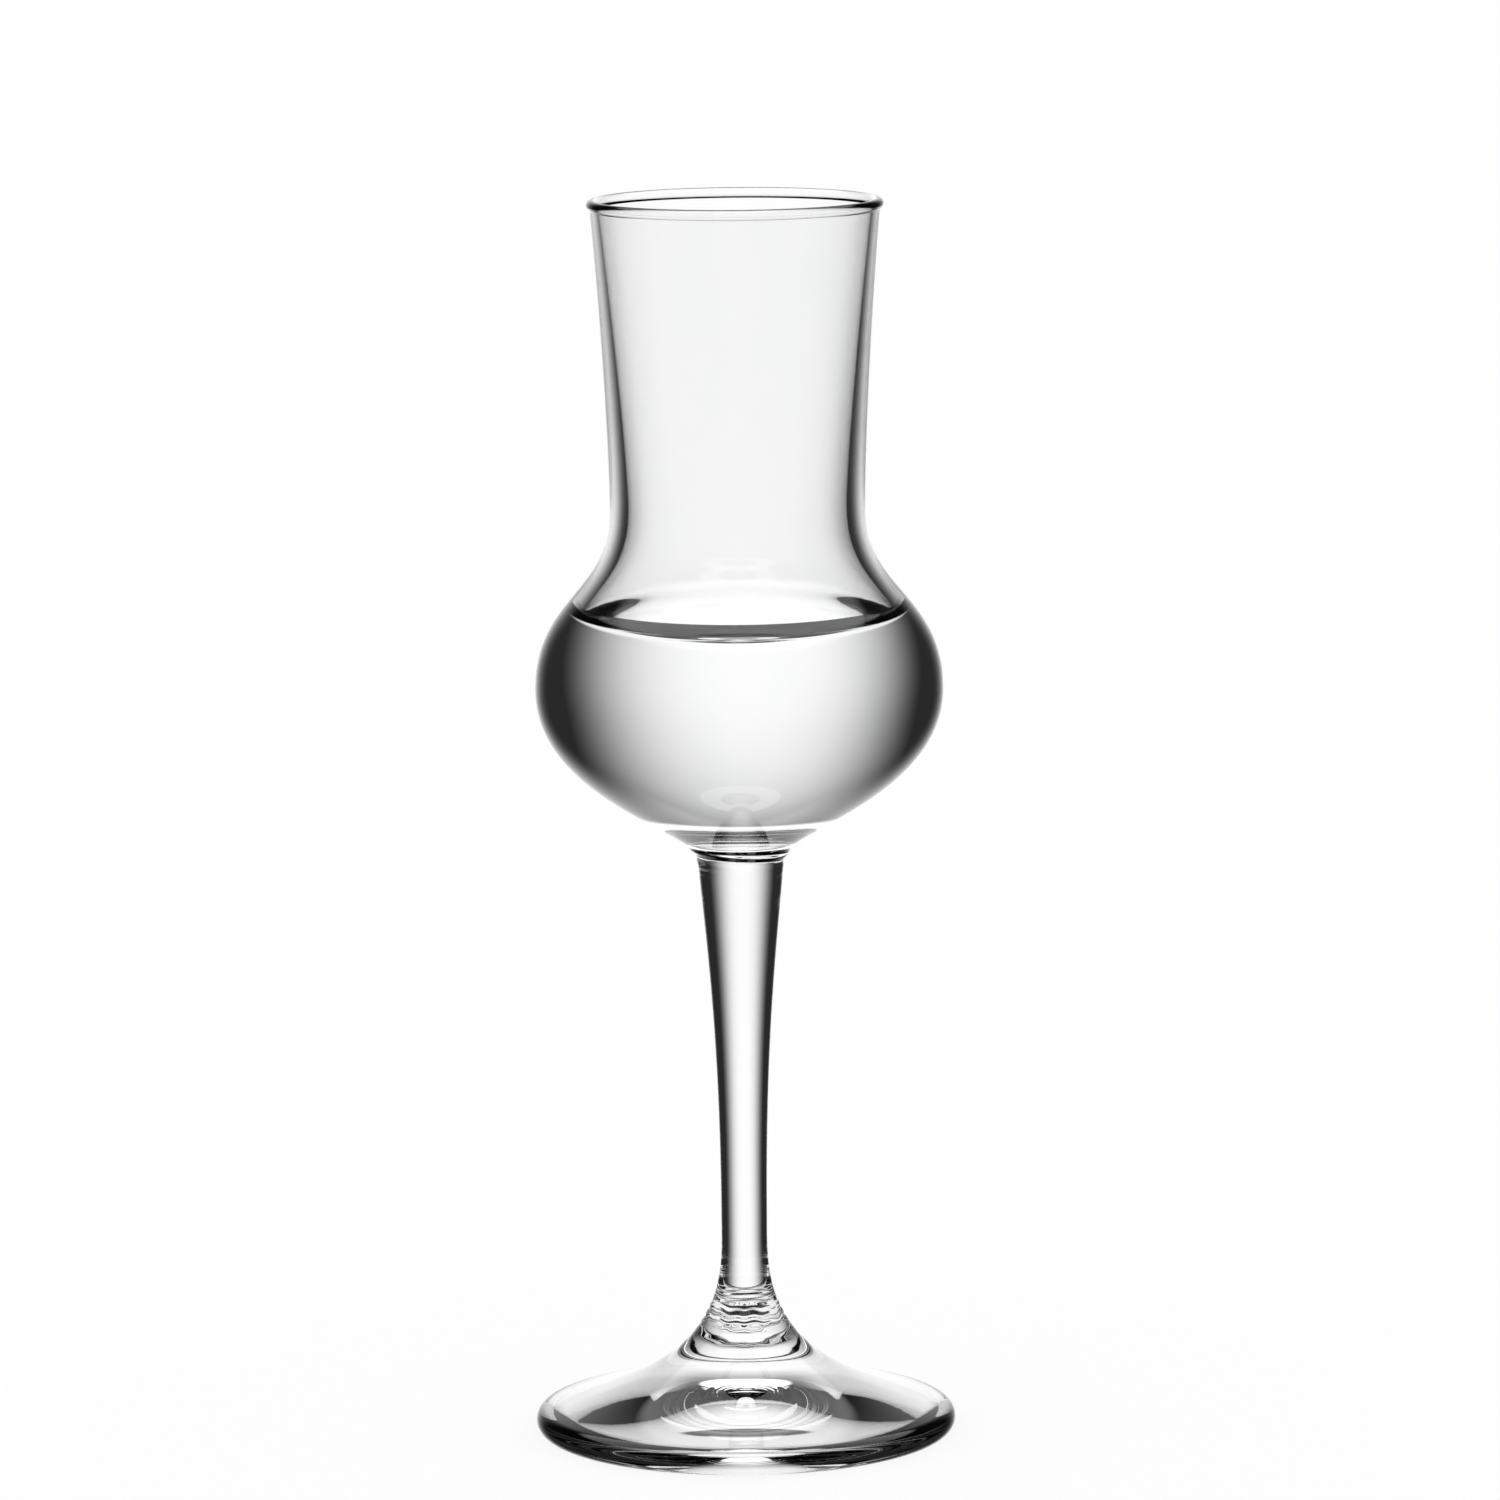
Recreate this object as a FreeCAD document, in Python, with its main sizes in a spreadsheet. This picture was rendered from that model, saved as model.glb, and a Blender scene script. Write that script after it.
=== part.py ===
import FreeCAD, Part

import math
import os
import re

import Sketcher

# Grappa glass: a tulip glass on a drawn stem, with a measure of clear spirit in its bowl.
# Its origin is the middle of the foot, on the surface that it stands on, with +Z up.
# Both pieces are turned about the Z axis, so each is drawn once, as half its section in the
# XZ plane: a point is a radius from the axis and a height above the table.
#
# The walls are cubic curves between stations of the section, such as the waist of the stem or
# the widest place of the bowl. At each station a wall has a direction, and a reach that says how
# far it keeps to that direction before it bends away: a longer reach makes a fuller curve.

# Millimetres, and degrees for slopes, tapers and flares
SIZES = {
    # Foot: a slope is measured from level
    "foot_radius": 28.2,
    "foot_edge_round": 1.8,
    "foot_contact_width": 1.2,
    "foot_top_slope": 12.1,
    "foot_core_radius": 1.6483,
    "foot_underside_rise": 4.9,
    "foot_centre_reach": 8.8,
    "foot_rim_slope": 9.2,
    "foot_rim_reach": 17.3,
    # Stem: a taper is measured from upright
    "stem_root_reach": 8.1,
    "stem_waist_radius": 3.08,
    "stem_waist_height": 29.5,
    "stem_lower_reach": 25.0,
    "stem_length": 46.5,
    "stem_upper_reach": 8.5,
    "stem_top_radius": 5.6,
    "stem_top_taper": 4.8,
    # Flare from the stem into the underside of the bowl
    "flare_rise": 4.7,
    "flare_spread": 2.8,
    "flare_lower_reach": 2.6,
    "flare_upper_reach": 2.0,
    # Bowl, outside
    "bowl_joint_slope": 31.5,
    "bowl_joint_reach": 7.5,
    "bowl_depth": 20.1,
    "bowl_lower_reach": 10.8,
    "bowl_radius": 27.15,
    "bowl_upper_reach": 12.3,
    # Neck and chimney, outside
    "shoulder_rise": 23.7,
    "neck_lower_reach": 10.7,
    "neck_radius": 16.93,
    "neck_upper_reach": 6.0,
    "chimney_length": 41.5,
    "chimney_reach": 17.2,
    "chimney_flare": 5.1,
    # Bead rolled round the mouth
    "rim_radius": 19.65,
    "bead_radius": 0.75,
    "bead_overhang": 0.5,
    # Cavity
    "chimney_inner_reach": 14.4,
    "chimney_inner_flare": 6.5,
    "neck_wall": 2.4,
    "neck_inner_upper_reach": 6.0,
    "neck_inner_lower_reach": 10.9,
    "bowl_wall": 2.4,
    "cavity_upper_reach": 10.3,
    "cavity_lower_reach": 10.0,
    "cavity_floor_reach": 13.6,
    "floor_rise": 1.9,
    # Drink
    "drink_depth": 25.4,
}

SHEET = "Sizes"
AXIS = "0"

# Heights of the stations over the table: each stands on the one below it
STEM_TOP_HEIGHT = "(stem_waist_height + stem_length)"
JOINT_HEIGHT = f"({STEM_TOP_HEIGHT} + flare_rise)"
FLOOR_HEIGHT = f"({JOINT_HEIGHT} + floor_rise)"
DRINK_HEIGHT = f"({FLOOR_HEIGHT} + drink_depth)"
WIDEST_HEIGHT = f"({JOINT_HEIGHT} + bowl_depth)"
NECK_HEIGHT = f"({WIDEST_HEIGHT} + shoulder_rise)"
OVERALL_HEIGHT = f"({NECK_HEIGHT} + chimney_length)"

# Stations that more than one stretch needs, each as (radius, height)
EDGE_CENTRE = ("foot_radius - foot_edge_round", "foot_edge_round")
EDGE_TOP = (
    "foot_radius - foot_edge_round * (1 - sin(foot_top_slope * 1 deg))",
    "foot_edge_round * (1 + cos(foot_top_slope * 1 deg))",
)
STEM_WAIST = ("stem_waist_radius", "stem_waist_height")
STEM_TOP = ("stem_top_radius", STEM_TOP_HEIGHT)
BOWL_JOINT = ("stem_top_radius + flare_spread", JOINT_HEIGHT)
BOWL_WIDEST = ("bowl_radius", WIDEST_HEIGHT)
NECK = ("neck_radius", NECK_HEIGHT)
BEAD_CENTRE = ("rim_radius - bead_radius", f"{OVERALL_HEIGHT} - bead_radius")
BEAD_FOOT = (
    "rim_radius - bead_overhang",
    f"{BEAD_CENTRE[1]} - sqrt(2 * bead_radius * bead_overhang - bead_overhang^2)",
)
MOUTH = ("rim_radius - 2 * bead_radius", BEAD_CENTRE[1])
NECK_INSIDE = ("neck_radius - neck_wall", NECK_HEIGHT)
CAVITY_WIDEST = ("bowl_radius - bowl_wall", WIDEST_HEIGHT)
CAVITY_FLOOR = (AXIS, FLOOR_HEIGHT)


def in_sheet(text):
    """Returns an expression in sizes with each name turned into its cell of the sheet."""
    return re.sub(r"[a-z_]+", lambda word: f"{SHEET}.{word[0]}" if word[0] in SIZES else word[0], text)


def along(point, reach, slope, outward=1, upward=1):
    """Returns the point that lies a reach away from another, on a slope measured from level."""
    radius, height = point
    return (
        f"{radius} + {outward} * {reach} * cos({slope} * 1 deg)",
        f"{height} + {upward} * {reach} * sin({slope} * 1 deg)",
    )


def above(point, reach):
    """Returns the point that lies a reach straight above another."""
    return (point[0], f"{point[1]} + {reach}")


def below(point, reach):
    """Returns the point that lies a reach straight below another."""
    return (point[0], f"{point[1]} - {reach}")


class Outline:
    """A closed half section in a sketch, drawn one stretch after another from a first point.

    Each stretch starts where the last one ended, and the rest of its points are held at the
    radius and height that their expressions give, so the section follows the sheet.
    """

    def __init__(self, sketch, start):
        self.sketch = sketch
        self.start = start
        self.end = start
        self.last = None
        self.first = None

    def place(self, point):
        """Returns where a point is with the sizes as they are now."""
        radius, height = (float(self.sketch.evalExpression(in_sheet(text))) for text in point)
        return FreeCAD.Vector(radius, height, 0)

    def hold(self, geometry, vertex, point, radius=True, height=True):
        """Holds a vertex at a point's radius and height, or at only one of the two."""
        sketch = self.sketch
        for kind, text, held in (("DistanceX", point[0], radius), ("DistanceY", point[1], height)):
            if not held:
                continue
            if text == AXIS:
                line = -2 if kind == "DistanceX" else -1
                sketch.addConstraint(Sketcher.Constraint("PointOnObject", geometry, vertex, line))
                continue
            size = float(sketch.evalExpression(in_sheet(text)))
            number = sketch.addConstraint(Sketcher.Constraint(kind, -1, 1, geometry, vertex, size))
            sketch.setExpression(f"Constraints[{number}]", in_sheet(text))

    def join(self, geometry, vertex):
        """Joins a new stretch's first vertex to the outline so far, or holds it if it is the first."""
        if self.last is None:
            self.first = (geometry, vertex)
            self.hold(geometry, vertex, self.start)
        else:
            self.sketch.addConstraint(Sketcher.Constraint("Coincident", geometry, vertex, *self.last))

    def line_to(self, end):
        """Draws a straight line."""
        line = self.sketch.addGeometry(Part.LineSegment(self.place(self.end), self.place(end)), False)
        self.join(line, 1)
        self.hold(line, 2, end)
        self.last, self.end = (line, 2), end

    def span_to(self, leaving, arriving, end):
        """Draws a cubic curve that sets off towards one point and comes in from another."""
        poles = (self.end, leaving, arriving, end)
        curve = Part.BSplineCurve()
        curve.buildFromPolesMultsKnots([self.place(pole) for pole in poles], [4, 4], [0, 1], False, 3)
        span = self.sketch.addGeometry(curve, False)
        self.sketch.exposeInternalGeometry(span)
        self.join(span, 1)
        for number, pole in enumerate(poles[1:], start=2):
            self.hold(span + number, 3, pole)
        self.last, self.end = (span, 2), end

    def arc_to(self, centre, end, by_height):
        """Draws an arc that turns left about its centre, and ends at a height or at a radius."""
        middle, start, stop = (self.place(point) for point in (centre, self.end, end))
        circle = Part.Circle(middle, FreeCAD.Vector(0, 0, 1), start.distanceToPoint(middle))
        angles = [math.atan2(point.y - middle.y, point.x - middle.x) for point in (start, stop)]
        arc = self.sketch.addGeometry(Part.ArcOfCircle(circle, *angles), False)
        self.join(arc, 1)
        self.hold(arc, 3, centre)
        self.hold(arc, 2, end, radius=not by_height, height=by_height)
        self.last, self.end = (arc, 2), end

    def close(self):
        """Draws a straight line back to the first point."""
        line = self.sketch.addGeometry(Part.LineSegment(self.place(self.end), self.place(self.start)), False)
        self.join(line, 1)
        self.sketch.addConstraint(Sketcher.Constraint("Coincident", line, 2, *self.first))


def draw_foot(outline):
    """Draws the foot from the middle of its underside out to its edge and up to the stem's waist."""
    ring_inside = (f"{EDGE_CENTRE[0]} - foot_contact_width", AXIS)
    middle = outline.end
    outline.span_to(
        along(middle, "foot_centre_reach", "0"),
        (
            f"{ring_inside[0]} - foot_rim_reach * cos(foot_rim_slope * 1 deg)",
            "foot_rim_reach * sin(foot_rim_slope * 1 deg)",
        ),
        ring_inside,
    )
    outline.line_to((EDGE_CENTRE[0], AXIS))
    outline.arc_to(EDGE_CENTRE, EDGE_TOP, by_height=False)
    core_top = f"{EDGE_TOP[1]} + ({EDGE_TOP[0]} - foot_core_radius) * tan(foot_top_slope * 1 deg)"
    outline.span_to(("foot_core_radius", core_top), below(STEM_WAIST, "stem_root_reach"), STEM_WAIST)


def draw_stem(outline):
    """Draws the stem from its waist up to the seam, and the flare into the bowl."""
    outline.span_to(
        above(STEM_WAIST, "stem_lower_reach"),
        along(STEM_TOP, "stem_upper_reach", "(90 - stem_top_taper)", outward=-1, upward=-1),
        STEM_TOP,
    )
    outline.span_to(
        along(STEM_TOP, "flare_lower_reach", "(90 - stem_top_taper)"),
        along(BOWL_JOINT, "flare_upper_reach", "bowl_joint_slope", outward=-1, upward=-1),
        BOWL_JOINT,
    )


def draw_bowl(outline):
    """Draws the outside of the bowl, its neck and its chimney, and the bead round the mouth."""
    outline.span_to(
        along(BOWL_JOINT, "bowl_joint_reach", "bowl_joint_slope"),
        below(BOWL_WIDEST, "bowl_lower_reach"),
        BOWL_WIDEST,
    )
    outline.span_to(above(BOWL_WIDEST, "bowl_upper_reach"), below(NECK, "neck_lower_reach"), NECK)
    outline.span_to(
        above(NECK, "neck_upper_reach"),
        along(BEAD_FOOT, "chimney_reach", "(90 - chimney_flare)", outward=-1, upward=-1),
        BEAD_FOOT,
    )
    outline.arc_to(BEAD_CENTRE, MOUTH, by_height=True)


def draw_cavity(outline):
    """Draws the inside of the glass from the mouth down to the middle of its floor."""
    outline.span_to(
        along(MOUTH, "chimney_inner_reach", "(90 - chimney_inner_flare)", outward=-1, upward=-1),
        above(NECK_INSIDE, "neck_inner_upper_reach"),
        NECK_INSIDE,
    )
    outline.span_to(
        below(NECK_INSIDE, "neck_inner_lower_reach"),
        above(CAVITY_WIDEST, "cavity_upper_reach"),
        CAVITY_WIDEST,
    )
    outline.span_to(
        below(CAVITY_WIDEST, "cavity_lower_reach"),
        ("cavity_floor_reach", FLOOR_HEIGHT),
        CAVITY_FLOOR,
    )


def fill_sheet(doc):
    """Puts every size into the sheet as a plain number, with its name as the cell's alias."""
    sheet = doc.addObject("Spreadsheet::Sheet", SHEET)
    for row, (name, size) in enumerate(SIZES.items(), start=1):
        sheet.set(f"A{row}", name)
        sheet.set(f"B{row}", str(size))
        sheet.setAlias(f"B{row}", name)
    doc.recompute()


def add_body(doc, label):
    """Adds an empty body with a label of its own."""
    body = doc.addObject("PartDesign::Body", label)
    body.Label = label
    body.Placement = FreeCAD.Placement()
    return body


def add_section(body, name, start):
    """Adds a sketch on the body's XZ plane and returns it with an outline that starts at a point."""
    sketch = body.newObject("Sketcher::SketchObject", name)
    plane = next(part for part in body.Origin.OriginFeatures if part.Role == "XZ_Plane")
    sketch.AttachmentSupport = [(plane, "")]
    sketch.MapMode = "FlatFace"
    return sketch, Outline(sketch, start)


def turn(body, kind, sketch, name):
    """Turns a closed section a full circle about the Z axis, to add or to cut."""
    feature = body.newObject(f"PartDesign::{kind}", name)
    feature.Profile = sketch
    feature.ReferenceAxis = (sketch, ["V_Axis"])
    feature.Angle = 360
    sketch.Visibility = False
    return feature


def make_glass(doc):
    """The glass: foot, drawn stem, bowl and chimney, fused into one piece of glass."""
    body = add_body(doc, "stemmed_glass")
    sketch, outline = add_section(body, "glass_section", (AXIS, "foot_underside_rise"))
    draw_foot(outline)
    draw_stem(outline)
    draw_bowl(outline)
    draw_cavity(outline)
    outline.close()
    turn(body, "Revolution", sketch, "glass_turned")
    return body


def make_drink(doc):
    """The drink: the cavity filled, and cut off level at the height it is poured to."""
    body = add_body(doc, "drink")
    sketch, outline = add_section(body, "cavity_section", (AXIS, MOUTH[1]))
    outline.line_to(MOUTH)
    draw_cavity(outline)
    outline.close()
    turn(body, "Revolution", sketch, "cavity_filled")

    sketch, outline = add_section(body, "unfilled_section", (AXIS, DRINK_HEIGHT))
    outline.line_to(("bowl_radius", DRINK_HEIGHT))
    outline.line_to(("bowl_radius", OVERALL_HEIGHT))
    outline.line_to((AXIS, OVERALL_HEIGHT))
    outline.close()
    turn(body, "Groove", sketch, "poured_level")
    return body


def check(doc, bodies):
    """Raises an error if anything failed to build or a body isn't one valid solid."""
    for item in doc.Objects:
        if "Invalid" in item.State or "Error" in item.State:
            raise RuntimeError(f"{item.Label} did not build: {item.State}")
    for body in bodies:
        shape = body.Shape
        if shape.isNull() or not shape.isValid() or len(shape.Solids) != 1:
            raise RuntimeError(f"{body.Label} is not one valid solid")


def main():
    """Builds the document and writes each piece to its own file."""
    doc = FreeCAD.newDocument("grappa_glass")
    fill_sheet(doc)
    bodies = [make_glass(doc), make_drink(doc)]
    doc.recompute()
    check(doc, bodies)
    os.makedirs("parts", exist_ok=True)
    for body in bodies:
        box = body.Shape.BoundBox
        print(
            f"{body.Label}: {body.Shape.Volume / 1000:.2f} ml, "
            f"{box.XLength:.2f} x {box.YLength:.2f} x {box.ZLength:.2f} mm, from {box.ZMin:.2f}"
        )
        body.Shape.exportStep(f"parts/{body.Label}.step")


main()
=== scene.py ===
"""A tulip-shaped grappa glass on a drawn stem, part filled, and the studio that it stands in.

Each piece of it is a profile turned round the Z axis, which goes up through the middle of the stem.
Sizes are in metres, and the table is at Z = 0.
"""

import math

import bpy
import numpy as np
from bpy.props import FloatProperty, FloatVectorProperty, IntProperty, PointerProperty
from bpy.types import Operator, Panel, PropertyGroup
from mathutils import Matrix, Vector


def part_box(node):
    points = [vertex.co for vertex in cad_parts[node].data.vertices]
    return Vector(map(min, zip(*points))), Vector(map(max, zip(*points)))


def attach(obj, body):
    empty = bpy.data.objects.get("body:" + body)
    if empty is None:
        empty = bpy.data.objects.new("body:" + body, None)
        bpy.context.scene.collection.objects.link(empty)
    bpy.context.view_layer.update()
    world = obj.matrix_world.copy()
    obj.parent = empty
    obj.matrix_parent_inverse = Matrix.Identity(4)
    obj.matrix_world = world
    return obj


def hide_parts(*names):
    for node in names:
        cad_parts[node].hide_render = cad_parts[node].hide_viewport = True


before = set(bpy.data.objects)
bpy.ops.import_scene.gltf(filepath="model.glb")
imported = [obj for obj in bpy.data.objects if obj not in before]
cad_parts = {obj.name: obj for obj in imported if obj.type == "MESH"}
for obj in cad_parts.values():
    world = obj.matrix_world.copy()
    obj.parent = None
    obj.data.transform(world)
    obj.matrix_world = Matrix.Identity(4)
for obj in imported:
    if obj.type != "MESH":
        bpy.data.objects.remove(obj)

bl_info = {
    "name": "Grappa glass",
    "version": (1, 0, 0),
    "blender": (4, 5, 0),
    "location": "3D View > Sidebar > Grappa glass",
    "description": "A stemmed tulip glass, its drink and a bright-field studio",
    "category": "Object",
}

MM = 0.001
UPRIGHT = math.pi / 2
WHITE = (1, 1, 1, 1)

# The lowest and highest corners of the solids that the pieces replace, and of the whole object.
GLASS_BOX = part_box("stemmed_glass")
DRINK_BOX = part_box("drink")
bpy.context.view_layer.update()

# How far each curve of the outline keeps the direction that it has at an end.
STEM_ROOT_REACH = 8.1 * MM
STEM_LOWER_REACH = 25.0 * MM
STEM_UPPER_REACH = 8.5 * MM
FLARE_LOWER_REACH = 2.6 * MM
FLARE_UPPER_REACH = 2.0 * MM
BOWL_JOINT_REACH = 7.5 * MM
BOWL_LOWER_REACH = 10.8 * MM
BOWL_UPPER_REACH = 12.3 * MM
NECK_LOWER_REACH = 10.7 * MM
NECK_UPPER_REACH = 6.0 * MM
CHIMNEY_REACH = 17.2 * MM
CHIMNEY_INNER_REACH = 14.4 * MM
NECK_INNER_REACH = 10.9 * MM
CAVITY_UPPER_REACH = 10.3 * MM
CAVITY_LOWER_REACH = 10.0 * MM
CAVITY_FLOOR_REACH = 13.6 * MM

# Directions of the outline at the joints of its curves.
FOOT_TOP_SLOPE = math.radians(12.1)
STEM_TOP_TAPER = math.radians(4.8)
BOWL_JOINT_SLOPE = math.radians(31.5)
CHIMNEY_FLARE = math.radians(5.1)
CHIMNEY_INNER_FLARE = math.radians(6.5)

# The foot's top, taken on inward, would meet the stem's core at this radius.
FOOT_CORE_RADIUS = 1.6483 * MM

# The rim's bead stands out this far past the chimney's outside.
BEAD_OVERHANG = 0.5 * MM

# The curve of the foot's top goes from 0 to 1. The ridges of the seam lie between these two places,
# and there its steps are short.
RIDGES_FROM, RIDGES_TO = 0.5, 0.72

# The seam under the bowl: a groove that stands askew by the lean to each side, and a lip over it.
# The last two are its depth and the lip's height, as multiples of the groove depth.
BOWL_GROOVE_HEIGHT = 78.1 * MM
BOWL_GROOVE_LEAN = 0.35 * MM
BOWL_GROOVE_WIDTH = 0.45 * MM
LIP_RISE = 0.8 * MM
LIP_WIDTH = 0.35 * MM
BOWL_GROOVE_DEPTHS = 2.0
LIP_DEPTHS = 1.2

# The seam over the foot: the groove of the weld, and uneven ridges over it.
WELD_HEIGHT = 12.8 * MM
WELD_WIDTH = 0.28 * MM
RIDGES_HEIGHT = 15.9 * MM
RIDGES_PITCH = 1.1 * MM
RIDGES_REACH = 1.9 * MM

# That seam goes up and down round the stem by the sum of these waves, each with its height, how
# often it comes in a full turn, and its phase. The ridges do so by more than the groove.
WANDER = ((0.10 * MM, 2, 0.6), (0.07 * MM, 5, 2.0), (0.05 * MM, 13, 0.0))
RIDGES_WANDER = 1.5

# Levels of the noise at which the faint streaks begin to show, and show in full.
STREAKS_BEGIN, STREAKS_FULL = 0.45, 0.75

# The drink's sides keep this far from the glass, so that no two faces share a place.
DRINK_GAP = 0.01 * MM

# Slopes of the drink's surface: below the first it is followed in ever smaller steps, and at the
# second it is so nearly level that a flat disc goes on from there.
GENTLE_SLOPE = math.radians(12)
LEVEL_SLOPE = math.radians(0.5)

# Colour of the light in the shadow of clear things.
SHADE = (0.9, 0.9, 0.9, 1)

# The table, a square: half its width, the brightness of its darkest grain, how much brighter the
# grain gets, its scale, and the strength and share of the white that the camera sees there.
TABLE_HALF = 6.0
TABLE_DARKEST = 0.78
TABLE_GRAIN = 0.04
TABLE_GRAIN_SCALE = 400.0
TABLE_WHITE = 1.04
TABLE_WHITE_SHARE = 0.8

# How softly the lit things round the glass end.
TABLE_FADE = math.radians(7)
SHEET_SHADOW_FADE = 2 * MM
SHEET_FADE = 1 * MM

DOME_RADIUS = 8.0


def length(name, description, default):
    """A size that the sidebar shows in the scene's own unit of length."""
    return FloatProperty(
        name=name, description=description, default=default,
        min=0.0, precision=5, unit="LENGTH", subtype="DISTANCE",
    )


def angle(name, description, degrees):
    """An angle, given in degrees and kept in radians."""
    return FloatProperty(
        name=name, description=description, default=math.radians(degrees),
        precision=3, unit="ROTATION", subtype="ANGLE",
    )


def plain(name, description, default, low=0.0, high=10.0):
    """A plain number between two limits."""
    return FloatProperty(
        name=name, description=description, default=default, min=low, max=high, precision=4
    )


def colour(name, description, default):
    """A colour without alpha."""
    return FloatVectorProperty(
        name=name, description=description, default=default,
        size=3, min=0.0, max=1.0, subtype="COLOR",
    )


class GlassSettings(PropertyGroup):
    """Sizes and finish of the glass."""

    height: length("Height", "Table to the top of the rim", GLASS_BOX[1].z)
    foot_radius: length("Foot radius", "Outermost radius of the foot", 28.2 * MM)
    foot_edge: length("Foot edge", "Radius of the rounded edge of the foot", 1.8 * MM)
    foot_ring: length("Foot ring", "Width of the flat ring that the glass stands on", 1.2 * MM)
    hollow_rise: length("Hollow rise", "How high the underside rises over the table", 4.9 * MM)
    hollow_reach: length("Hollow reach", "How far the underside's middle stays level", 8.8 * MM)
    hollow_slope: angle("Hollow slope", "Slope of the underside where it leaves the ring", 9.2)
    hollow_rim_reach: length(
        "Hollow rim reach", "How far the underside keeps its slope from the ring", 17.3 * MM
    )
    waist_radius: length("Waist radius", "Radius of the stem where it is thinnest", 3.08 * MM)
    waist_height: length("Waist height", "Height at which the stem is thinnest", 29.5 * MM)
    stem_top_radius: length("Stem top radius", "Radius of the stem under the flare", 5.6 * MM)
    stem_top_height: length("Stem top height", "Height at which the flare begins", 76.0 * MM)
    joint_radius: length("Joint radius", "Radius where the flare meets the bowl", 8.4 * MM)
    joint_height: length("Joint height", "Height where the flare meets the bowl", 80.7 * MM)
    bowl_radius: length("Bowl radius", "Outermost radius of the bowl", 27.15 * MM)
    bowl_height: length("Bowl height", "Height at which the bowl is widest", 100.8 * MM)
    neck_radius: length("Neck radius", "Radius outside the narrow neck", 16.93 * MM)
    neck_height: length("Neck height", "Height of the narrow neck", 124.5 * MM)
    wall: length("Wall", "Thickness of the glass at the bowl and the neck", 2.4 * MM)
    rim_radius: length("Rim radius", "Outermost radius of the rim", 19.65 * MM)
    bead: length("Rim bead", "Radius of the rounded bead of the rim", 0.75 * MM)
    cavity_floor: length("Cavity floor", "Height of the bottom of the cavity", DRINK_BOX[0].z)
    groove_depth: length("Groove depth", "Depth of the groove of the weld at the foot", 0.1 * MM)
    ridge_depth: length("Ridge depth", "Half the height of the ridges over the foot", 0.08 * MM)
    turns: IntProperty(
        name="Turns", description="Faces round the axis", default=240, min=24, max=512
    )
    tint: colour("Tint", "Colour that the glass gives to light at its clearest", (1.0, 1.0, 1.0))
    streak_tint: colour("Streak tint", "Colour of the streaks in the glass", (0.985, 0.99, 0.995))
    streak_size: length("Streak size", "Width of a streak in the glass", 6 * MM)
    streak_stretch: plain("Streak stretch", "How many times as tall as wide a streak is", 4.0)
    streak_depth: length("Streak depth", "Depth of the waves that blowing leaves", 0.003 * MM)
    bend: plain("Refraction", "Index of refraction of the glass", 1.52, 1.0, 3.0)


class DrinkSettings(PropertyGroup):
    """Level and look of the drink."""

    level: length("Level", "Height of the drink's surface", DRINK_BOX[1].z - 0.5 * MM)
    climb_scale: length("Climb scale", "Scale of the surface's climb at the wall", 2.2 * MM)
    wall_tilt: angle("Tilt at the wall", "Slope of the surface where it meets the wall", 130.0)
    edge_end: length("Edge end", "Height over the level at which the edge ends", 0.15 * MM)
    # Painted shade: a near-black colour for light that leaves the drink through its climbing edge,
    # which draws the dark band at the edge.
    painted_edge_shade: colour(
        "Painted edge shade", "Colour of light that leaves the drink through its edge", (0.01, 0.01, 0.01)
    )
    tint: colour("Tint", "Colour that the drink gives to light at its clearest", (1.0, 1.0, 1.0))
    streak_tint: colour("Streak tint", "Colour of the streaks in the drink", (0.99, 0.995, 0.99))
    ripple_size: length("Ripple size", "Width of a ripple on the surface", 5 * MM)
    ripple: length("Ripple", "Depth of the ripples on the surface", 0.002 * MM)
    bend: plain("Refraction", "Index of refraction of the drink", 1.36, 1.0, 3.0)


class StudioSettings(PropertyGroup):
    """The view and the light round the glass. The light's angles are measured from the glass, and
    from the direction that the camera looks in."""

    distance: length("Distance", "From the glass to the camera", 1071.4 * MM)
    eye_height: length("Eye height", "Height of the camera over the table", 251.47 * MM)
    aside: length("Aside", "How far the camera stands to the right of the glass", 1.35 * MM)
    pitch: angle("Pitch", "How far the camera looks down", 8.44)
    roll: angle("Roll", "How far the camera leans", -0.527)
    lens: plain("Lens", "Focal length in mm on a 36 mm wide sensor", 195.31, 10.0, 1000.0)
    panel_strength: plain("Panel strength", "Brightness of the panel behind the glass", 1.08)
    panel_middle: angle("Panel middle", "How far to the right the panel's middle is", -1.7)
    panel_width: angle("Panel width", "Angle to the side at which the panel has faded", 25.5)
    panel_rise: angle("Panel rise", "Height at which the panel begins to fade upward", -4.0)
    panel_height: angle("Panel height", "Angle upward over which the panel fades", 46.6)
    overhead_strength: plain("Overhead strength", "Brightness of the panel overhead", 1.3)
    overhead_edge: angle("Overhead edge", "Height at which the panel overhead begins", 41.0)
    overhead_blur: angle("Overhead blur", "How softly the panel overhead begins", 5.0)
    table_near: angle("Table near edge", "Angle down at which the lit table ends", -43.0)
    dark: plain("Dark", "Brightness of the dark cloth all round", 0.022)
    sheet_radius: length("Sheet radius", "Radius of the lit sheet under the foot", 22.0 * MM)
    # Painted shadow: the sheet's dark middle stands for the shade of the stem.
    sheet_shadow: length("Sheet shadow", "Radius of the sheet's dark middle", 7.5 * MM)
    sheet_strength: plain("Sheet strength", "Brightness of the sheet under the foot", 1.0)


def even(steps):
    """Values from 0 to 1 in even steps."""
    return np.linspace(0.0, 1.0, steps + 1)


def curve(start, leave, arrive, end, t):
    """Cubic curve at the values t from 0 to 1: the four points are weighted by (1-t)^3,
    3t(1-t)^2, 3t^2(1-t) and t^3."""
    t = t[:, None]
    weights = ((1 - t) ** 3, 3 * t * (1 - t) ** 2, 3 * t**2 * (1 - t), t**3)
    points = np.array((start, leave, arrive, end))
    return sum(weight * point for weight, point in zip(weights, points))


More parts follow.
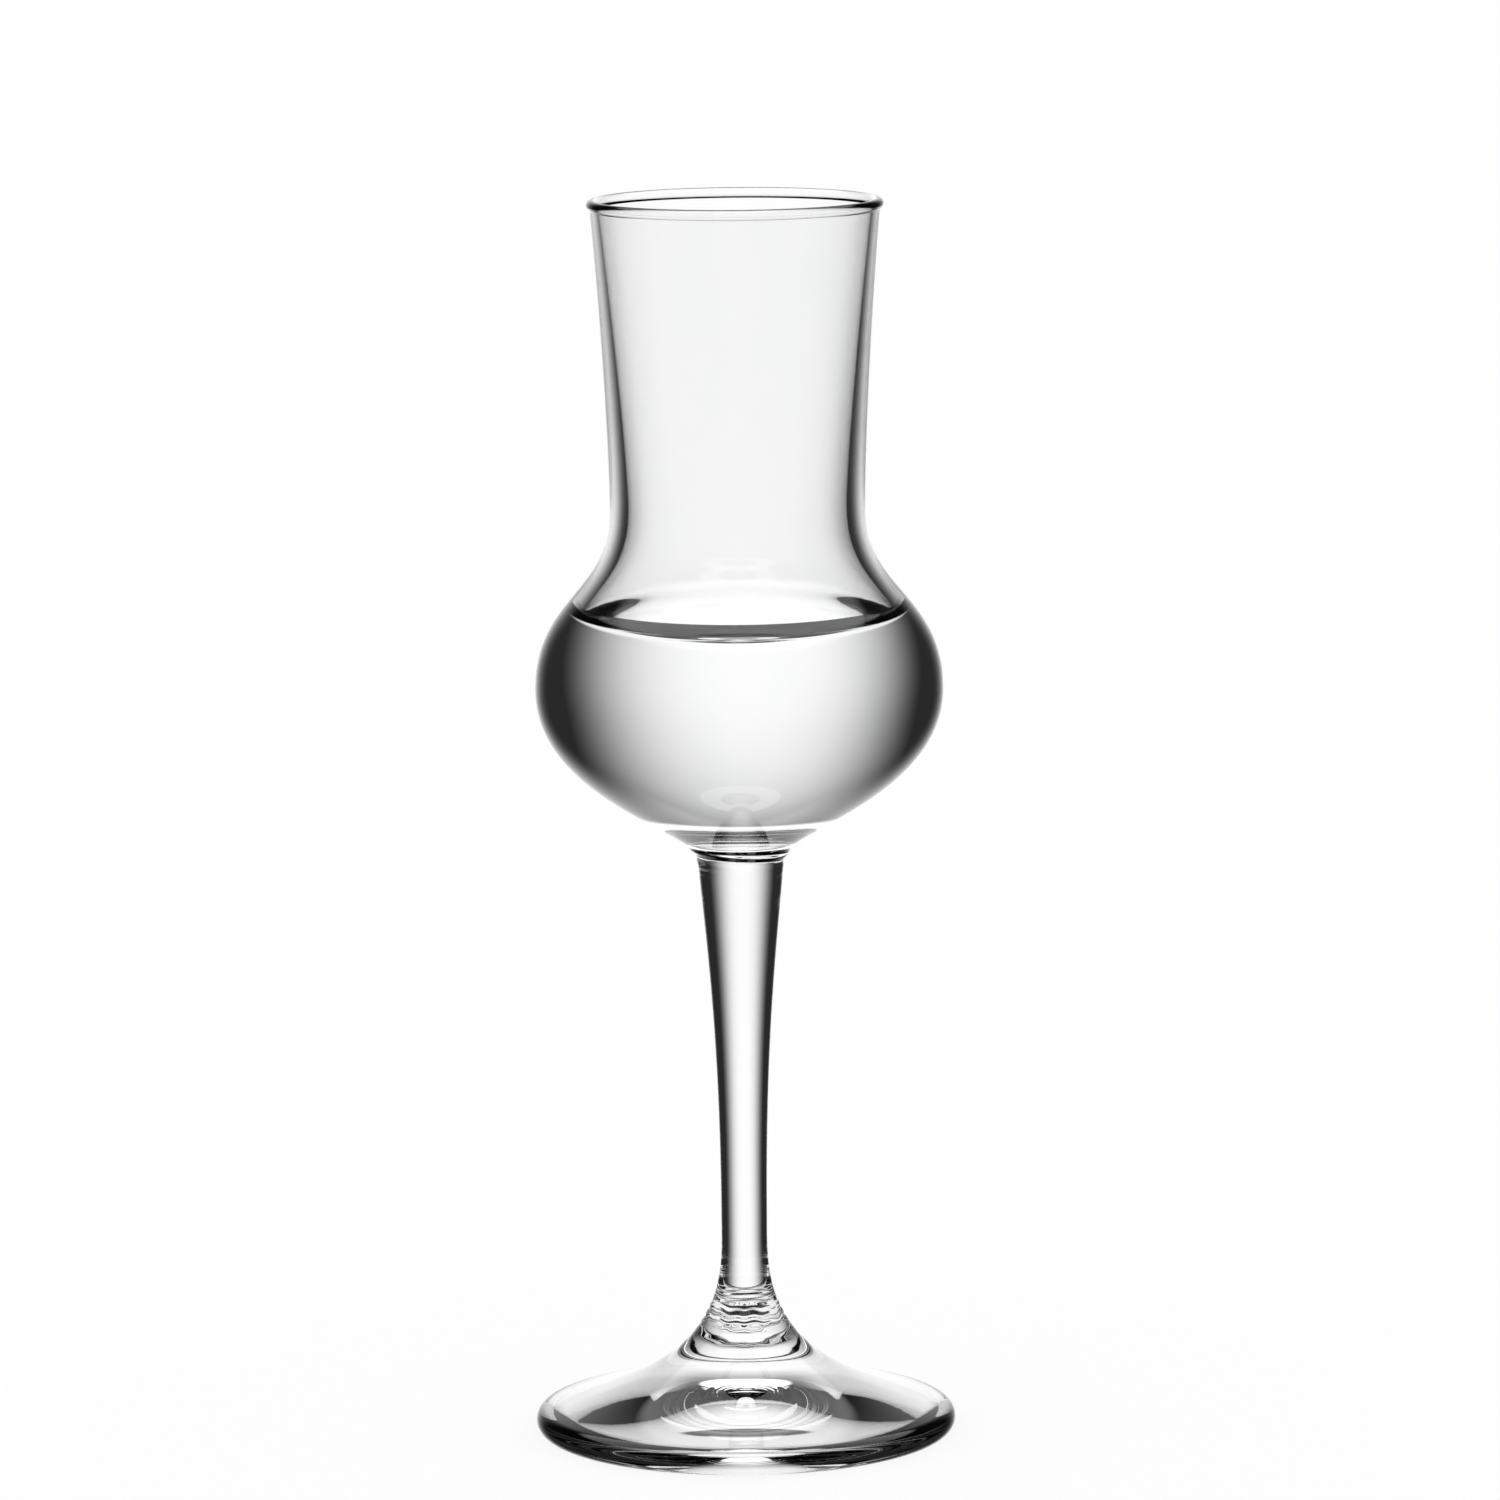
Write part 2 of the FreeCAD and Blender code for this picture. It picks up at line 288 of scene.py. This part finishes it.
def arc(centre, radius, first, last, steps):
    """Arc: the centre plus the radius times the cosine and sine of an angle, which goes in even
    steps from first to last, in degrees."""
    turn = np.radians(np.linspace(first, last, steps + 1))
    return np.array(centre) + radius * np.stack((np.cos(turn), np.sin(turn)), axis=1)


def toward(point, direction, distance):
    """The point that lies a distance from another in a direction, an angle over the horizontal."""
    return (point[0] + distance * math.cos(direction), point[1] + distance * math.sin(direction))


def joined(*stretches):
    """Stretches end to end: each but the first gives up its first point, which the one before it
    ends on."""
    return np.concatenate([stretches[0]] + [stretch[1:] for stretch in stretches[1:]])


def foot_profile(glass):
    """Outline of the foot as radius and height: from the middle of its underside over the ring and
    the rounded edge, an arc, up to the stem's waist. The hollow and the top are cubic curves."""
    edge = (glass.foot_radius - glass.foot_edge, glass.foot_edge)
    contact = (edge[0] - glass.foot_ring, 0.0)
    hollow = curve(
        (0.0, glass.hollow_rise), (glass.hollow_reach, glass.hollow_rise),
        toward(contact, math.pi - glass.hollow_slope, glass.hollow_rim_reach), contact, even(30),
    )
    ring = np.array([contact, (edge[0], 0.0)])
    edge_round = arc(edge, glass.foot_edge, -90, 90 - math.degrees(FOOT_TOP_SLOPE), 16)
    edge_top = tuple(edge_round[-1])
    core_top = edge_top[1] + (edge_top[0] - FOOT_CORE_RADIUS) * math.tan(FOOT_TOP_SLOPE)
    waist = (glass.waist_radius, glass.waist_height)
    close_at_ridges = joined(
        np.linspace(0, RIDGES_FROM, 31), np.linspace(RIDGES_FROM, RIDGES_TO, 61),
        np.linspace(RIDGES_TO, 1, 13),
    )
    top = curve(
        edge_top, (FOOT_CORE_RADIUS, core_top), toward(waist, -UPRIGHT, STEM_ROOT_REACH), waist,
        close_at_ridges,
    )
    return joined(hollow, ring, edge_round, top)


def stem_profile(glass):
    """Outline of the stem from its waist up to the bowl: a cubic curve, and one for the flare
    under the bowl."""
    waist = (glass.waist_radius, glass.waist_height)
    top = (glass.stem_top_radius, glass.stem_top_height)
    joint = (glass.joint_radius, glass.joint_height)
    stem = curve(
        waist, toward(waist, UPRIGHT, STEM_LOWER_REACH),
        toward(top, -UPRIGHT - STEM_TOP_TAPER, STEM_UPPER_REACH), top, even(24),
    )
    flare = curve(
        top, toward(top, UPRIGHT - STEM_TOP_TAPER, FLARE_LOWER_REACH),
        toward(joint, BOWL_JOINT_SLOPE - math.pi, FLARE_UPPER_REACH), joint, even(40),
    )
    return joined(stem, flare)


def bowl_profile(glass):
    """Outline of the bowl's outside, from the joint with the stem to the inner side of the rim:
    three cubic curves, and the arc of the bead.

    The chimney meets the bead where that has come in by the overhang h. With b for the bead's
    radius, this is sqrt(2 b h - h^2) below the bead's middle.
    """
    joint = (glass.joint_radius, glass.joint_height)
    widest = (glass.bowl_radius, glass.bowl_height)
    neck = (glass.neck_radius, glass.neck_height)
    bead = (glass.rim_radius - glass.bead, glass.height - glass.bead)
    drop = math.sqrt(2 * glass.bead * BEAD_OVERHANG - BEAD_OVERHANG**2)
    bead_foot = (glass.rim_radius - BEAD_OVERHANG, bead[1] - drop)
    lower = curve(
        joint, toward(joint, BOWL_JOINT_SLOPE, BOWL_JOINT_REACH),
        toward(widest, -UPRIGHT, BOWL_LOWER_REACH), widest, even(26),
    )
    upper = curve(
        widest, toward(widest, UPRIGHT, BOWL_UPPER_REACH),
        toward(neck, -UPRIGHT, NECK_LOWER_REACH), neck, even(26),
    )
    chimney = curve(
        neck, toward(neck, UPRIGHT, NECK_UPPER_REACH),
        toward(bead_foot, -UPRIGHT - CHIMNEY_FLARE, CHIMNEY_REACH), bead_foot, even(24),
    )
    start = math.degrees(math.atan2(-drop, glass.bead - BEAD_OVERHANG))
    return joined(lower, upper, chimney, arc(bead, glass.bead, start, 180, 22))


def inside(glass):
    """Outline of the inside, from the rim down to the middle of the cavity's floor: three cubic
    curves."""
    mouth = (glass.rim_radius - 2 * glass.bead, glass.height - glass.bead)
    neck = (glass.neck_radius - glass.wall, glass.neck_height)
    widest = (glass.bowl_radius - glass.wall, glass.bowl_height)
    chimney = curve(
        mouth, toward(mouth, -UPRIGHT - CHIMNEY_INNER_FLARE, CHIMNEY_INNER_REACH),
        toward(neck, UPRIGHT, NECK_UPPER_REACH), neck, even(24),
    )
    upper = curve(
        neck, toward(neck, -UPRIGHT, NECK_INNER_REACH),
        toward(widest, UPRIGHT, CAVITY_UPPER_REACH), widest, even(26),
    )
    lower = curve(
        widest, toward(widest, -UPRIGHT, CAVITY_LOWER_REACH),
        (CAVITY_FLOOR_REACH, glass.cavity_floor), (0.0, glass.cavity_floor), even(36),
    )
    return joined(chimney, upper, lower)


def wall_radius(glass, height):
    """Radius of the cavity at a height."""
    radius, up = inside(glass)[::-1].T
    return float(np.interp(height, up, radius))


def hump(height, middle, width):
    """A smooth hump from 0 to 1 and back: exp(-((height - middle) / width)^2)."""
    return np.exp(-(((height - middle) / width) ** 2))


def relief(glass, turn, height):
    """Outward shift of the glass at an angle round the axis and a height.

    The grooves and the lip are humps, inward and outward. The ridges are
    sin(2 pi (height - middle) / pitch) * exp(-((height - middle) / reach)^4). The middle of the
    seam under the bowl goes with the cosine of the angle, and that over the foot wanders.
    """
    askew = BOWL_GROOVE_HEIGHT - BOWL_GROOVE_LEAN * np.cos(turn)
    wander = sum(size * np.sin(waves * turn + phase) for size, waves, phase in WANDER)
    under_bowl = hump(height, askew, BOWL_GROOVE_WIDTH)
    lip = hump(height, askew + LIP_RISE, LIP_WIDTH)
    weld = hump(height, WELD_HEIGHT + wander, WELD_WIDTH)
    over = height - RIDGES_HEIGHT - RIDGES_WANDER * wander
    ridges = np.sin(2 * math.pi * over / RIDGES_PITCH) * np.exp(-((over / RIDGES_REACH) ** 4))
    grooves = LIP_DEPTHS * lip - BOWL_GROOVE_DEPTHS * under_bowl - weld
    return glass.ridge_depth * ridges + glass.groove_depth * grooves


def climb(drink):
    """Shape of the drink's surface by the wall, as distances from the wall and heights over the
    level.

    Where the surface slopes by w, it stands 2 c sin(w / 2) over the level, and its distance from
    the place where the slope is the one at the wall, v, is c (f(v) - f(w)) with
    f(w) = ln tan(w / 4) + 2 cos(w / 2); c is the climb scale.
    """
    steep = np.linspace(drink.wall_tilt, GENTLE_SLOPE, 40)
    tilt = joined(steep, np.geomspace(GENTLE_SLOPE, LEVEL_SLOPE, 16))
    along = np.log(np.tan(tilt / 4)) + 2 * np.cos(tilt / 2)
    return drink.climb_scale * (along[0] - along), 2 * drink.climb_scale * np.sin(tilt / 2)


def contact_height(drink):
    """Height at which the drink's surface meets the wall."""
    return drink.level + climb(drink)[1][0]


def drink_profile(glass, drink):
    """Outline of the drink in two stretches: its side, from the middle of its bottom to the edge,
    and its surface, from there back to the middle.

    The side is the wall of the cavity, moved in by the gap, and up by it where the floor is. The
    surface is the climb, and then a level line.
    """
    away, rise = climb(drink)
    contact = contact_height(drink)
    edge = wall_radius(glass, contact)
    wall = inside(glass)[::-1]
    wall = np.concatenate((wall[wall[:, 1] < contact - DRINK_GAP], [(edge, contact)]))
    lift = DRINK_GAP * (wall[:, 0] < CAVITY_FLOOR_REACH)
    side = np.stack((np.maximum(wall[:, 0] - DRINK_GAP, 0), wall[:, 1] + lift), axis=1)
    shore = np.stack((edge - DRINK_GAP - away, drink.level + rise), axis=1)
    return side, joined(shore, np.linspace(shore[-1], (0.0, drink.level), 9))


def new_piece(name, points, corners, sizes):
    """Adds a smooth piece, sharp only where it turns by 30 degrees, from its points, the corners of
    its faces one after another, and the number of corners of each face."""
    mesh = bpy.data.meshes.new(name)
    mesh.vertices.add(len(points))
    mesh.vertices.foreach_set("co", points.ravel())
    mesh.loops.add(len(corners))
    mesh.loops.foreach_set("vertex_index", corners)
    mesh.polygons.add(len(sizes))
    mesh.polygons.foreach_set("loop_start", np.cumsum(sizes) - sizes)
    mesh.update(calc_edges=True)
    mesh.validate()
    mesh.shade_smooth()
    mesh.set_sharp_from_angle(angle=math.radians(30))
    piece = bpy.data.objects.new(name, mesh)
    bpy.context.scene.collection.objects.link(piece)
    return piece


def turned_faces(rings, turns):
    """Corners and sizes of the faces between a first pole, rings of points and a last pole.

    Point j of ring i is number 1 + i * turns + j. A triangle joins a pole to two neighbours on its
    ring, and a quad joins two neighbours to the two after them on the next ring.
    """
    here = np.arange(turns)
    after = (here + 1) % turns
    row = 1 + np.arange(rings - 1)[:, None] * turns
    quads = np.stack((row + here, row + after, row + turns + after, row + turns + here), axis=-1)
    top = 1 + (rings - 1) * turns
    last_pole = np.full(turns, 1 + rings * turns)
    first = np.stack((0 * here, after + 1, here + 1), axis=-1)
    last = np.stack((last_pole, top + here, top + after), axis=-1)
    corners = np.concatenate((first.ravel(), quads.ravel(), last.ravel()))
    return corners, np.repeat((3, 4, 3), (turns, (rings - 1) * turns, turns))


def turned(name, profile, turns, shift=None):
    """Surface of revolution. Its faces lie in rows of one turn, one row for a step of the profile.

    Point (i, j) is point i of the profile, carried round the Z axis by j / turns of a full turn and
    moved outward by shift(angle, height). The profile starts and ends on the axis, where its end
    points are the two poles, and keeps the solid on its left.
    """
    around = np.arange(turns) * (2 * math.pi / turns)
    radius, height = profile[1:-1, 0][:, None], profile[1:-1, 1][:, None]
    if shift is not None:
        radius = radius + shift(around, height)
    rings = np.stack(
        (radius * np.cos(around), radius * np.sin(around), height + 0 * around), axis=-1
    )
    first, last = (0, 0, profile[0, 1]), (0, 0, profile[-1, 1])
    points = np.concatenate(([first], rings.reshape(-1, 3), [last]))
    return new_piece(name, points, *turned_faces(len(profile) - 2, turns))


def set_slots(piece, slots, rows, turns):
    """Gives a turned piece's faces their material slots: each slot holds for so many rows."""
    faces = np.repeat(slots, np.array(rows) * turns)
    piece.data.polygons.foreach_set("material_index", faces.astype(np.int32))
    piece.data.update()


def wire(tree, kind, inputs, output=0, **settings):
    """Adds a node with the given settings, and gives its inputs, by name or by place, their values:
    a socket is linked to, and a number or colour is set. Returns one of the node's outputs."""
    node = tree.nodes.new(kind)
    for name, value in settings.items():
        setattr(node, name, value)
    for key, value in inputs.items():
        if isinstance(value, bpy.types.NodeSocket):
            tree.links.new(value, node.inputs[key])
        else:
            node.inputs[key].default_value = value
    return node.outputs[output]


def calc(tree, operation, *values):
    """One step of arithmetic."""
    return wire(tree, "ShaderNodeMath", dict(enumerate(values)), operation=operation)


def fade(tree, value, low, high):
    """A number that goes smoothly from 0 to 1 while value goes from low to high."""
    return wire(
        tree, "ShaderNodeMapRange", {"Value": value, "From Min": low, "From Max": high},
        interpolation_type="SMOOTHSTEP",
    )


def mixed_colour(tree, share, first, second):
    """A colour that goes from the first to the second while share goes from 0 to 1."""
    values = {"Factor": share, "A": first, "B": second}
    return wire(tree, "ShaderNodeMix", values, output="Result", data_type="RGBA")


def mixed_shader(tree, share, first, second):
    """A shader that goes from the first to the second while share goes from 0 to 1."""
    return wire(tree, "ShaderNodeMixShader", {0: share, 1: first, 2: second})


def white_light(tree, strength):
    """A shader that shines white."""
    return wire(tree, "ShaderNodeEmission", {"Color": WHITE, "Strength": strength})


def object_place(tree):
    """The place of a point in the piece's own coordinates."""
    return tree.nodes.new("ShaderNodeTexCoord").outputs["Object"]


def new_material(name):
    """An empty node material, its node tree and the socket that takes its surface shader."""
    material = bpy.data.materials.new(name)
    material.use_nodes = True
    tree = material.node_tree
    tree.nodes.clear()
    return material, tree, tree.nodes.new("ShaderNodeOutputMaterial").inputs["Surface"]


def streak_group():
    """Node group of the faint unevenness in clear things: a colour between two tints and a normal
    with shallow waves. Noise makes both, drawn out along the height by Stretch. Size is its grain,
    and Depth the height of the waves."""
    name = "Faint streaks"
    if name in bpy.data.node_groups:
        return bpy.data.node_groups[name]
    group = bpy.data.node_groups.new(name, "ShaderNodeTree")
    sockets = (
        ("Clear Tint", "INPUT", "NodeSocketColor"),
        ("Streak Tint", "INPUT", "NodeSocketColor"),
        ("Size", "INPUT", "NodeSocketFloat"),
        ("Stretch", "INPUT", "NodeSocketFloat"),
        ("Depth", "INPUT", "NodeSocketFloat"),
        ("Colour", "OUTPUT", "NodeSocketColor"),
        ("Normal", "OUTPUT", "NodeSocketVector"),
    )
    for label, way, kind in sockets:
        group.interface.new_socket(name=label, in_out=way, socket_type=kind)
    given = group.nodes.new("NodeGroupInput").outputs
    squeeze = calc(group, "DIVIDE", 1.0, given["Stretch"])
    along = wire(group, "ShaderNodeCombineXYZ", {"X": 1.0, "Y": 1.0, "Z": squeeze})
    drawn = wire(
        group, "ShaderNodeVectorMath", {0: object_place(group), 1: along}, operation="MULTIPLY"
    )
    scale = calc(group, "DIVIDE", 1.0, given["Size"])
    noise = wire(
        group, "ShaderNodeTexNoise", {"Vector": drawn, "Scale": scale, "Detail": 2.0}, output="Fac"
    )
    shown = fade(group, noise, STREAKS_BEGIN, STREAKS_FULL)
    tint = mixed_colour(group, shown, given["Clear Tint"], given["Streak Tint"])
    normal = wire(group, "ShaderNodeBump", {"Distance": given["Depth"], "Height": noise})
    result = group.nodes.new("NodeGroupOutput")
    group.links.new(tint, result.inputs["Colour"])
    group.links.new(normal, result.inputs["Normal"])
    return group


def clear_material(name, bend, look, painted_shade_from_inside=None):
    """Something clear that bends light by the given index and casts a light shadow. Its look holds
    the inputs of the faint streaks. Where a colour for light from inside is given, light that
    comes out of it through this surface takes that colour: painted shade, for the drink's dark
    edge."""
    material, tree, surface = new_material(name)
    streaks = wire(tree, "ShaderNodeGroup", look, node_tree=streak_group()).node.outputs
    tint = streaks["Colour"]
    if painted_shade_from_inside is not None:
        leaving = tree.nodes.new("ShaderNodeNewGeometry").outputs["Backfacing"]
        # Painted shade: light that leaves through the back of this surface takes the given dark
        # colour.
        tint = mixed_colour(tree, leaving, tint, (*painted_shade_from_inside, 1))
    clear = wire(tree, "ShaderNodeBsdfPrincipled", {
        "Base Color": tint, "Roughness": 0.0, "IOR": bend, "Transmission Weight": 1.0,
        "Normal": streaks["Normal"],
    })
    shade = wire(tree, "ShaderNodeBsdfTransparent", {"Color": SHADE})
    path = tree.nodes.new("ShaderNodeLightPath").outputs
    tree.links.new(mixed_shader(tree, path["Is Shadow Ray"], clear, shade), surface)
    return material


def touching_material(name):
    """The drink's side and bottom, which touch the glass and bend nothing: the glass's own wetted
    face does that."""
    material, tree, surface = new_material(name)
    tree.links.new(wire(tree, "ShaderNodeBsdfTransparent", {"Color": WHITE}), surface)
    return material


class GRAPPA_OT_add_glass(Operator):
    """Add the glass: foot, stem, bowl and chimney in one piece"""

    bl_idname = "grappa.add_glass"
    bl_label = "Add the glass"

    def execute(self, context):
        glass, drink = context.scene.grappa_glass, context.scene.grappa_drink
        contact = contact_height(drink)
        outer = joined(foot_profile(glass), stem_profile(glass), bowl_profile(glass))
        inner = inside(glass)
        dry = inner[:, 1] > contact + DRINK_GAP
        shore = (wall_radius(glass, contact), contact)
        profile = joined(outer, np.concatenate((inner[dry], [shore], inner[~dry])))
        piece = turned(
            "glass", profile, glass.turns, lambda turn, height: relief(glass, turn, height)
        )
        dry_rows = len(outer) - 1 + int(dry.sum())
        set_slots(piece, (0, 1), (dry_rows, len(profile) - 1 - dry_rows), glass.turns)
        look = {
            "Clear Tint": (*glass.tint, 1), "Streak Tint": (*glass.streak_tint, 1),
            "Size": glass.streak_size, "Stretch": glass.streak_stretch,
            "Depth": glass.streak_depth,
        }
        for material in (
            clear_material("Clear glass", glass.bend, look),
            clear_material("Clear glass under the drink", glass.bend / drink.bend, look),
        ):
            piece.data.materials.append(material)
        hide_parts("stemmed_glass")
        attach(piece, "root")
        return {"FINISHED"}


class GRAPPA_OT_add_drink(Operator):
    """Add the drink that stands in the bowl, its surface climbing a little at the wall"""

    bl_idname = "grappa.add_drink"
    bl_label = "Add the drink"

    def execute(self, context):
        glass, drink = context.scene.grappa_glass, context.scene.grappa_drink
        side, surface = drink_profile(glass, drink)
        piece = turned("poured_drink", joined(side, surface), glass.turns)
        side_rows = len(side) - 1
        edge_rows = int((surface[:, 1] > drink.level + drink.edge_end).sum())
        top_rows = len(surface) - 1 - edge_rows
        set_slots(piece, (1, 2, 0), (side_rows, edge_rows, top_rows), glass.turns)
        look = {
            "Clear Tint": (*drink.tint, 1), "Streak Tint": (*drink.streak_tint, 1),
            "Size": drink.ripple_size, "Stretch": 1.0, "Depth": drink.ripple,
        }
        for material in (
            clear_material("Clear drink", drink.bend, look),
            touching_material("Drink against the glass"),
            # The climbing edge carries painted shade: light that leaves the drink through it is
            # darkened to a dark band.
            clear_material("Climbing edge of the drink with painted shade", drink.bend, look, drink.painted_edge_shade),
        ):
            piece.data.materials.append(material)
        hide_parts("drink")
        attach(piece, "root")
        return {"FINISHED"}


def dome_material(studio):
    """Bright-field light, as the glass sees it; the camera itself sees plain white.

    A panel behind the glass shines with strength * exp(-d^3), where
    d^2 = (side / width)^2 + (rise / height)^2 counts the angle to the side from the panel's middle
    and the angle up from where the fade begins. Below the glass the same strip is the lit table,
    down to its near edge. A second panel hangs overhead, and the rest is dark cloth.
    """
    material, tree, surface = new_material("Studio surroundings")
    ray = wire(tree, "ShaderNodeVectorMath", {0: object_place(tree)}, operation="NORMALIZE")
    right, up, back = wire(tree, "ShaderNodeSeparateXYZ", {0: ray}).node.outputs
    across = calc(tree, "ARCTAN2", right, calc(tree, "MULTIPLY", back, -1.0))
    above = calc(tree, "ARCSINE", up)
    side = calc(tree, "SUBTRACT", across, studio.panel_middle)
    side = calc(tree, "DIVIDE", side, studio.panel_width)
    rise = calc(tree, "SUBTRACT", above, studio.panel_rise)
    rise = calc(tree, "MAXIMUM", calc(tree, "DIVIDE", rise, studio.panel_height), 0.0)
    far = calc(tree, "ADD", calc(tree, "MULTIPLY", side, side), calc(tree, "MULTIPLY", rise, rise))
    far = calc(tree, "POWER", calc(tree, "SQRT", far), 3.0)
    panel = calc(tree, "EXPONENT", calc(tree, "MULTIPLY", far, -1.0))
    panel = calc(tree, "MULTIPLY", panel, studio.panel_strength)
    on_table = fade(tree, above, studio.table_near - TABLE_FADE, studio.table_near)
    panel = calc(tree, "MULTIPLY", panel, on_table)
    overhead_full = studio.overhead_edge + studio.overhead_blur
    overhead = fade(tree, above, studio.overhead_edge, overhead_full)
    overhead = calc(tree, "MULTIPLY", overhead, studio.overhead_strength)
    light = calc(tree, "MAXIMUM", calc(tree, "MAXIMUM", panel, overhead), studio.dark)
    path = tree.nodes.new("ShaderNodeLightPath").outputs
    strength = calc(tree, "MAXIMUM", light, path["Is Camera Ray"])
    tree.links.new(white_light(tree, strength), surface)
    return material


def floor_material(studio):
    """Pale table. The camera sees it white, with a trace of the shadow and a faint grain. Through
    the glass it shows as a lit sheet right under the foot, with a painted shadow of the stem in
    its middle, and past the sheet the surroundings show."""
    material, tree, surface = new_material("Pale table")
    place = object_place(tree)
    away = wire(tree, "ShaderNodeVectorMath", {0: place}, output="Value", operation="LENGTH")
    grain = wire(
        tree, "ShaderNodeTexNoise", {"Vector": place, "Scale": TABLE_GRAIN_SCALE}, output="Fac"
    )
    level = calc(tree, "MULTIPLY_ADD", grain, TABLE_GRAIN, TABLE_DARKEST)
    grey = wire(tree, "ShaderNodeCombineColor", {0: level, 1: level, 2: level})
    matt = wire(tree, "ShaderNodeBsdfDiffuse", {"Color": grey})
    seen = mixed_shader(tree, TABLE_WHITE_SHARE, matt, white_light(tree, TABLE_WHITE))
    # Painted shadow: within this radius the sheet is dark, as if the stem shaded it.
    off_shadow = fade(tree, away, studio.sheet_shadow, studio.sheet_shadow + SHEET_SHADOW_FADE)
    lit = calc(tree, "MAXIMUM", off_shadow, studio.dark)
    sheet = white_light(tree, calc(tree, "MULTIPLY", lit, studio.sheet_strength))
    past_sheet = fade(tree, away, studio.sheet_radius, studio.sheet_radius + SHEET_FADE)
    nothing = wire(tree, "ShaderNodeBsdfTransparent", {"Color": WHITE})
    through = mixed_shader(tree, past_sheet, sheet, nothing)
    path = tree.nodes.new("ShaderNodeLightPath").outputs
    by_glass = calc(tree, "MAXIMUM", path["Is Glossy Ray"], path["Is Transmission Ray"])
    tree.links.new(mixed_shader(tree, by_glass, seen, through), surface)
    return material


def add_camera(studio):
    """The camera, a long lens that looks a little down on the glass."""
    camera = bpy.data.objects.new("Camera", bpy.data.cameras.new("Camera"))
    bpy.context.scene.collection.objects.link(camera)
    camera.data.lens = studio.lens
    camera.data.sensor_width = 36.0
    camera.data.clip_start = 0.01
    camera.matrix_world = (
        Matrix.Translation((studio.aside, -studio.distance, studio.eye_height))
        @ Matrix.Rotation(UPRIGHT - studio.pitch, 4, "X")
        @ Matrix.Rotation(studio.roll, 4, "Z")
    )
    bpy.context.scene.camera = camera
    return camera


def add_floor(studio):
    """The table, a level square."""
    corners = [(x * TABLE_HALF, y * TABLE_HALF, 0) for x, y in ((-1, -1), (1, -1), (1, 1), (-1, 1))]
    mesh = bpy.data.meshes.new("floor")
    mesh.from_pydata(corners, [], [(0, 1, 2, 3)])
    mesh.materials.append(floor_material(studio))
    floor = bpy.data.objects.new("floor", mesh)
    bpy.context.scene.collection.objects.link(floor)


def add_dome(studio, camera):
    """A ball of light round the glass. It hangs on the camera, as panels and backdrop do when the
    glass stands on a turntable: the glass turns, and the light stays behind it."""
    dome = turned("studio_dome", arc((0, 0), DOME_RADIUS, -90, 90, 24), 48)
    dome.data.transform(Matrix.Rotation(UPRIGHT, 4, "X"))
    dome.data.materials.append(dome_material(studio))
    dome.parent = camera
    dome.location = (0, 0, -studio.distance)
    dome.visible_diffuse = False
    dome.visible_shadow = False


class GRAPPA_OT_add_studio(Operator):
    """Add the table, the light and the camera"""

    bl_idname = "grappa.add_studio"
    bl_label = "Add the studio"

    def execute(self, context):
        scene = context.scene
        camera = add_camera(scene.grappa_studio)
        add_floor(scene.grappa_studio)
        add_dome(scene.grappa_studio, camera)
        scene.world = bpy.data.worlds.new("World")
        scene.world.use_nodes = True
        backdrop = scene.world.node_tree.nodes["Background"]
        backdrop.inputs["Color"].default_value = WHITE
        backdrop.inputs["Strength"].default_value = 1.0
        scene.view_settings.view_transform = "Standard"
        return {"FINISHED"}


class GRAPPA_PT_panel(Panel):
    """Lists the pieces and the settings of the grappa glass"""

    bl_label = "Grappa glass"
    bl_idname = "GRAPPA_PT_panel"
    bl_space_type = "VIEW_3D"
    bl_region_type = "UI"
    bl_category = "Grappa glass"

    def draw(self, context):
        for operator in OPERATORS:
            self.layout.operator(operator.bl_idname)
        for name, group in SETTINGS.items():
            box = self.layout.box()
            for setting in group.__annotations__:
                box.prop(getattr(context.scene, name), setting)


SETTINGS = {
    "grappa_glass": GlassSettings,
    "grappa_drink": DrinkSettings,
    "grappa_studio": StudioSettings,
}
OPERATORS = (GRAPPA_OT_add_glass, GRAPPA_OT_add_drink, GRAPPA_OT_add_studio)
CLASSES = (*SETTINGS.values(), *OPERATORS, GRAPPA_PT_panel)


def register():
    """Registers the classes and hangs the settings on the scene."""
    for item in CLASSES:
        bpy.utils.register_class(item)
    for name, group in SETTINGS.items():
        setattr(bpy.types.Scene, name, PointerProperty(type=group))


def unregister():
    """Takes the settings and the classes away again."""
    for name in SETTINGS:
        delattr(bpy.types.Scene, name)
    for item in reversed(CLASSES):
        bpy.utils.unregister_class(item)


def main():
    """Builds the whole scene."""
    register()
    bpy.ops.grappa.add_glass()
    bpy.ops.grappa.add_drink()
    bpy.ops.grappa.add_studio()


if __name__ == "__main__":
    main()
